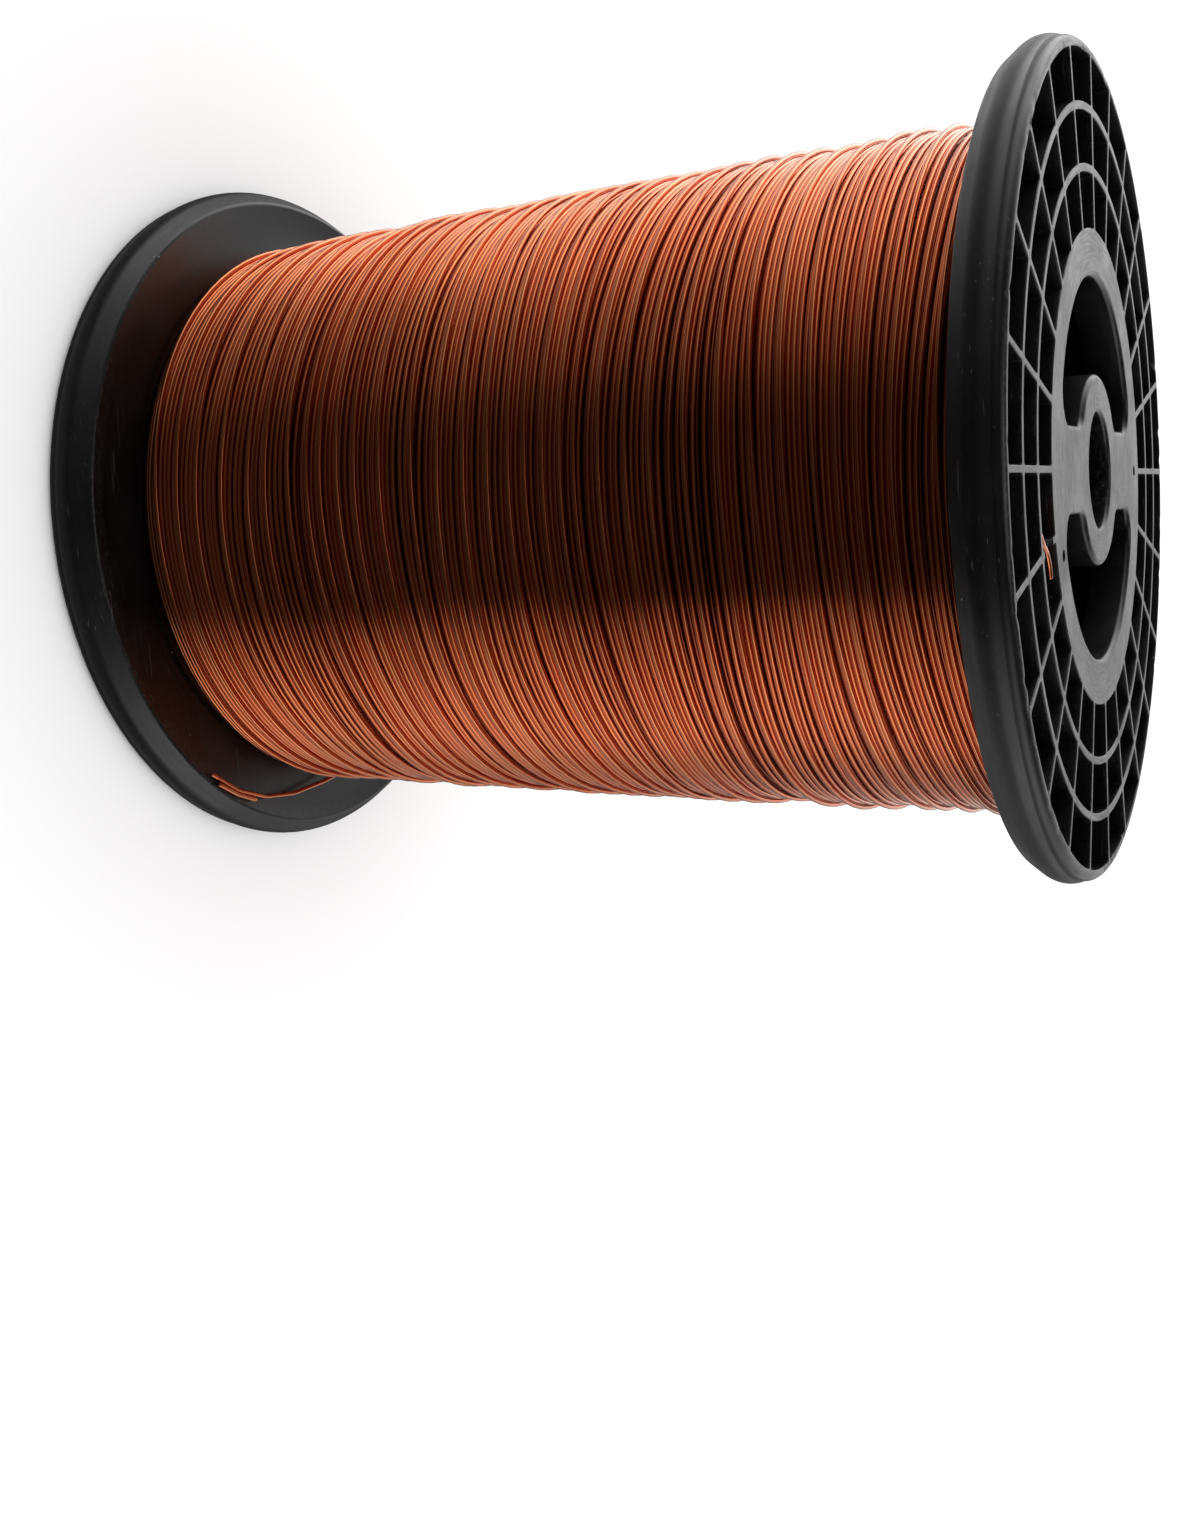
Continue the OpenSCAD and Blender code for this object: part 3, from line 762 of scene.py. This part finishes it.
def lay_top_run(lower):
    """The last run, laid back down over the layer: it sinks into gaps and rides over bunches."""
    r_low, _, z_low, _ = lower
    rows = math.ceil(len(z_low) / STEPS)
    table_z = np.full((rows, STEPS), 1e6)
    table_r = np.zeros((rows, STEPS))
    table_z.flat[:len(z_low)], table_r.flat[:len(r_low)] = z_low, r_low
    top, bottom = WINDING_HIGH - LAST_TOP_MM, WINDING_LOW + LAST_LOW_MM
    count = LAST_TURNS * STEPS
    turn = np.arange(count + 1) / STEPS
    azimuth = LEAVES_AT - 360 * turn
    steps = rng.uniform(*LAST_STEPS, LAST_TURNS)
    levels = top - np.concatenate([[0], np.cumsum(steps)]) * (top - bottom) / steps.sum()
    z = np.interp(turn, np.arange(LAST_TURNS + 1), levels)
    z = z + settle(z) * (drift(z, azimuth) + wander(count + 1, 0.5, 30))
    r = rest_r(z, azimuth, z - settle(z) * drift(z, azimuth))
    column = np.arange(count + 1) % STEPS
    near = np.abs(table_z[:, column] - z[None, :])
    lift = np.sqrt(np.maximum(WIRE_MM ** 2 - near ** 2, 0))
    over = np.where(near < WIRE_MM, table_r[:, column] + lift, 0).max(0)
    r = np.maximum(r, over)
    return smooth_run(r, 3), azimuth, z, turn + LAST_NUMBER


def lay_under_layer():
    """The layer below, close wound, seen through the gaps."""
    turns = int((WINDING_HIGH - WINDING_LOW - WIRE_MM) / PITCH_BELOW_MM)
    count = turns * STEPS
    turn = np.arange(count + 1) / STEPS
    azimuth = BELOW_FROM + 360 * turn
    level = WINDING_LOW + WIRE_MM / 2 + turn * PITCH_BELOW_MM
    z = level + settle(level) * drift(level, azimuth)
    r = lay_r(z) + unevenness(z, azimuth) * settle(z) - BELOW_MM
    return r, azimuth, z, turn + BELOW_NUMBER


def winding_run(laid):
    """Turns a laid run into its points, sideways directions, numbers and radii."""
    r, azimuth, z, number = laid
    return around_spool(r, azimuth, z), outwards(azimuth), number, np.full(len(r), WIRE_MM / 2)


def build_winding():
    """The layer below, the outer layer and the last run, each with real turns."""
    below = lay_under_layer()
    outer = lay_outer_layer()
    last = lay_top_run(outer)
    wire_piece("winding_below", "inner_winding", [winding_run(below)], COPPER_BELOW_SHADED, BELOW_SIDES)
    wire_piece("winding_outer_layer", "outer_winding", [winding_run(outer)], COPPER, WIRE_SIDES)
    wire_piece("winding_last_run", "outer_winding", [winding_run(last)], COPPER, WIRE_SIDES)
    return last


last_run = build_winding()


# ------------------------------------------------------------------ leads

LEAD_STEP_MM, LEAD_REACH, SINK_MM = 0.35, 7, 0.1
START_LOW_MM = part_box("start_lead")[0].z / MM
START_LEVEL_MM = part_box("start_lead")[1].z / MM - WIRE_MM / 2
FINISH_LEVEL_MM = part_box("finish_lead")[0].z / MM + WIRE_MM / 2 - SINK_MM

# Points of radius, azimuth and height. Heights are above the lead's level, except in FINISH_FALL.
START_LAID = ((78.5, -79.6, 0), (74.8, -76.2, 0), (71.1, -73.6, 0), (69.6, -70.4, 0), (69.5, -67.0, -0.1))
FINISH_FALL = ((87.2, 3.0, 18.2), (90.2, -6.0, 16.6), (94.4, -15.0, 15.5))
FINISH_LAID = ((97.7, -23.0, 0), (99.9, -31.0, 0), (101.2, -39.6, 0.15))
TAIL_LAID = ((99.9, -25.5, 0.1), (101.3, -31.0, 0.1), (102.3, -37.0, 0.3))


def above(level, points):
    """Points with their heights counted from a level."""
    return [(r, azimuth, level + height) for r, azimuth, height in points]


def lead_run(points, number):
    """A run of wire through points of radius, azimuth and height, with rounded ends."""
    corners = around_spool(*np.array(points).T)
    along = np.concatenate([[0], np.cumsum(np.linalg.norm(np.diff(corners, axis=0), axis=1))])
    places = np.linspace(0, along[-1], int(along[-1] / LEAD_STEP_MM) + 1)
    centres = np.stack([smooth_run(np.interp(places, along, corners[:, i]), LEAD_REACH)
                        for i in range(3)], -1)
    to_end = np.minimum(places, places[-1] - places)
    rounded = np.sqrt(np.clip(to_end / WIRE_MM * 2, 0.15, 1))
    azimuth = np.degrees(np.arctan2(centres[:, 1], centres[:, 0]))
    return centres, outwards(azimuth), number + places / 200, WIRE_MM / 2 * rounded


def build_leads():
    """The wire's start, up through the top flange, and its finish, laid along the bottom one."""
    rise = [(ENTRY_R_MM, ENTRY_ANGLE, START_LOW_MM), (ENTRY_R_MM, ENTRY_ANGLE, START_LEVEL_MM)]
    start = lead_run(rise + above(START_LEVEL_MM, START_LAID), START_NUMBER)
    wire_piece("wire_start", "start_lead", [start], COPPER, LEAD_SIDES)

    r, _, z, _ = last_run
    leaves = [(r[-1 - k], LEAVES_AT + k * 360 / STEPS, z[-1 - k]) for k in (2, 1, 0)]
    finish = lead_run(leaves + list(FINISH_FALL) + above(FINISH_LEVEL_MM, FINISH_LAID), FINISH_NUMBER)
    tail = lead_run(above(FINISH_LEVEL_MM, TAIL_LAID), TAIL_NUMBER)
    wire_piece("wire_finish", "finish_lead", [finish, tail], COPPER, LEAD_SIDES)


def dress_hidden_nodes():
    """The plastic for the CAD nodes that no piece replaces."""
    for node in ("barrel", "centre_tube"):
        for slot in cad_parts[node].material_slots:
            slot.material = TUBE_PLASTIC


build_leads()
dress_hidden_nodes()


# ------------------------------------------------------------------ stage and camera

# The studio's brightness against the turn about the axis: 0.5 is the camera's side, 0.75 is +X.
SIDES = ((0.0, 1.15), (0.06, 2.0), (0.11, 2.5), (0.17, 2.1), (0.22, 1.6), (0.25, 1.35), (0.28, 0.90),
         (0.336, 0.42), (0.40, 0.12), (0.435, 0.065), (0.60, 0.06), (0.625, 0.5), (0.664, 0.9),
         (0.70, 1.25), (0.76, 1.3), (0.817, 0.68), (0.878, 0.60), (0.94, 0.9), (1.0, 1.15))
CEILING, CEILING_FROM, CEILING_TO = 0.03, 0.42, 0.72
LAMP, LAMP_FROM, LAMP_TO = 1.2, 0.945, 0.975
WHITE = 1.3

# The floor, in metres. Reflections see it as a painted glow with the studio's light and dark sides, and its
# near part, around the spool, darker than the rest, as painted shade.
FLOOR_HALF, FLOOR_GAP = 12.0, 0.0002
NEAR_FLOOR_PAINTED_SHADE, NEAR_FROM, NEAR_TO, PAINTED_FLOOR_GLOW = 0.4, 0.115, 0.145, 0.34
PAINT_LOW, PAINT_HIGH = (0.93, 0.93, 0.935), (0.96, 0.96, 0.96)

# Where the camera stands and looks: the picture is taken a quarter turn from upright.
CAMERA_AT = (0.0069, -0.4858, 0.3665)
CAMERA_HEADING, CAMERA_PITCH, CAMERA_ROLL = 7.86, -23.75, 90.08
CAMERA_LENS, CAMERA_SHIFT = 39.94, (-0.0612, -0.0228)


def grey(level):
    """A colour of one level."""
    return (level, level, level)


def build_studio():
    """Studio light that differs from side to side, as the metal and the plastic reflect it."""
    world = bpy.data.worlds.new("studio")
    bpy.context.scene.world = world
    world.use_nodes = True
    world.cycles.sampling_method = "NONE"  # the metal then sees the studio only along its reflections
    n = Nodes(world.node_tree)
    way = n.add("ShaderNodeTexCoord").outputs["Generated"]
    up = n.add("ShaderNodeSeparateXYZ", None, Vector=way).outputs["Z"]
    around = n.ramp(n.azimuth(way), SIDES)
    overhead = n.span(up, CEILING_FROM, CEILING_TO)
    seen = n.mix(overhead, around, grey(CEILING))
    seen = n.mix(n.span(up, LAMP_FROM, LAMP_TO), seen, grey(LAMP))
    glossy = n.add("ShaderNodeLightPath").outputs["Is Glossy Ray"]
    light = n.mix(glossy, grey(WHITE), seen)
    n.add("ShaderNodeOutputWorld", None,
          Surface=n.add("ShaderNodeBackground", None, Color=light, Strength=1.0).outputs[0])
    bpy.context.scene.view_settings.view_transform = "Standard"


def floor_paint():
    """Pale paint, which reflections see as a painted glow with the studio's light and dark sides, darker
    near the spool as painted shade.
    """
    material, n = new_material("pale_floor_painted_glow")
    place = n.add("ShaderNodeNewGeometry").outputs["Position"]
    around = n.ramp(n.azimuth(place), SIDES)
    reach = n.add("ShaderNodeVectorMath", {"operation": "LENGTH"}, i0=place).outputs["Value"]
    # Painted light: glossy rays see the floor glow with the studio's pattern, and its near part darker as
    # painted shade.
    seen = n.mix(n.span(reach, NEAR_FROM, NEAR_TO), grey(NEAR_FLOOR_PAINTED_SHADE), around)
    painted_glow = n.add("ShaderNodeEmission", None, Color=seen, Strength=PAINTED_FLOOR_GLOW)
    tint = n.mix(n.noise(place, 3.0, 2.0), PAINT_LOW, PAINT_HIGH)
    paint = n.add("ShaderNodeBsdfDiffuse", None, Color=tint)
    glossy = n.add("ShaderNodeLightPath").outputs["Is Glossy Ray"]
    both = n.add("ShaderNodeMixShader", None, Fac=glossy)
    n.tree.links.new(paint.outputs[0], both.inputs[1])
    n.tree.links.new(painted_glow.outputs[0], both.inputs[2])
    n.add("ShaderNodeOutputMaterial", None, Surface=both.outputs[0])
    return material


def build_floor():
    """A wide floor just under the spool."""
    z = CAD_BOX[0].z - FLOOR_GAP
    corners = [(x * FLOOR_HALF, y * FLOOR_HALF, z) for x, y in ((-1, -1), (1, -1), (1, 1), (-1, 1))]
    mesh = bpy.data.meshes.new("floor")
    mesh.from_pydata(corners, [], [(0, 1, 2, 3)])
    mesh.materials.append(floor_paint())
    floor = bpy.data.objects.new("floor", mesh)
    bpy.context.scene.collection.objects.link(floor)


def build_camera():
    """The camera at the picture's viewing angle."""
    camera = bpy.data.objects.new("camera", bpy.data.cameras.new("camera"))
    bpy.context.scene.collection.objects.link(camera)
    camera.data.lens = CAMERA_LENS
    camera.data.shift_x, camera.data.shift_y = CAMERA_SHIFT
    camera.data.clip_start = 0.01
    turn = (Matrix.Rotation(math.radians(-CAMERA_HEADING), 4, "Z")
            @ Matrix.Rotation(math.radians(90 + CAMERA_PITCH), 4, "X")
            @ Matrix.Rotation(math.radians(CAMERA_ROLL), 4, "Z"))
    camera.matrix_world = Matrix.Translation(CAMERA_AT) @ turn
    bpy.context.scene.camera = camera


build_studio()
build_floor()
build_camera()
